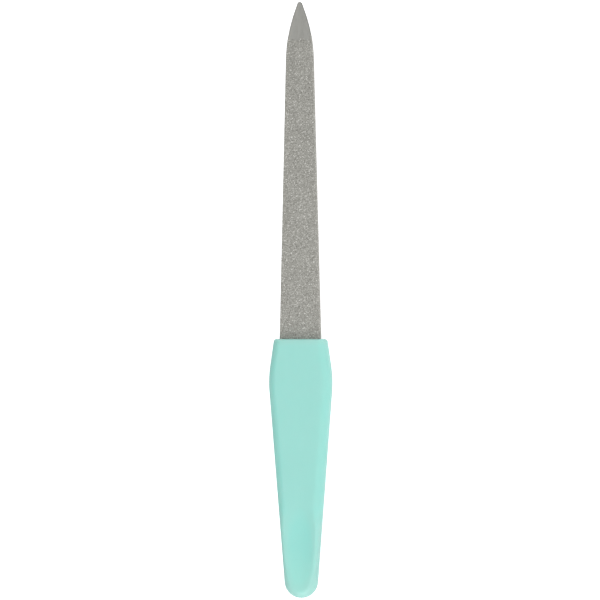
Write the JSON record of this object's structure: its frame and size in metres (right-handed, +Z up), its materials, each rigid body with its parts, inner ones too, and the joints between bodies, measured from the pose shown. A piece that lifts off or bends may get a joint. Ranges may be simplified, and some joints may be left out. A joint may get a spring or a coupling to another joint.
{
  "type": "sapphire nail file",
  "caption": "Flat pointed nail file: a thin steel blade with abrasive grit on both faces and a bare smooth point, in a flared plastic handle with a thumb scoop.",
  "frame": {"origin": "on the table under the middle of the file's bounding box, halfway between the tip and the handle's end", "axes": "+X across the file, +Y along it towards the blade's tip, +Z up out of the front face that has the thumb scoop"},
  "size_m": [0.016, 0.15, 0.005],
  "materials": {
    "steel": "satin sheet steel, smooth and even, with a slightly darker broken edge",
    "front_grit": "fine corundum grit in a grey binder, rough, with small bright and dark grains",
    "back_grit": "fine corundum grit in a grey binder, rough, with small bright and dark grains",
    "handle_plastic": "mint green moulded plastic, smooth with a soft gloss"
  },
  "bodies": {
    "root": {"blade": "steel", "front_grit_coat": "front_grit", "back_grit_coat": "back_grit", "handle": "handle_plastic"}
  },
  "joints": []
}
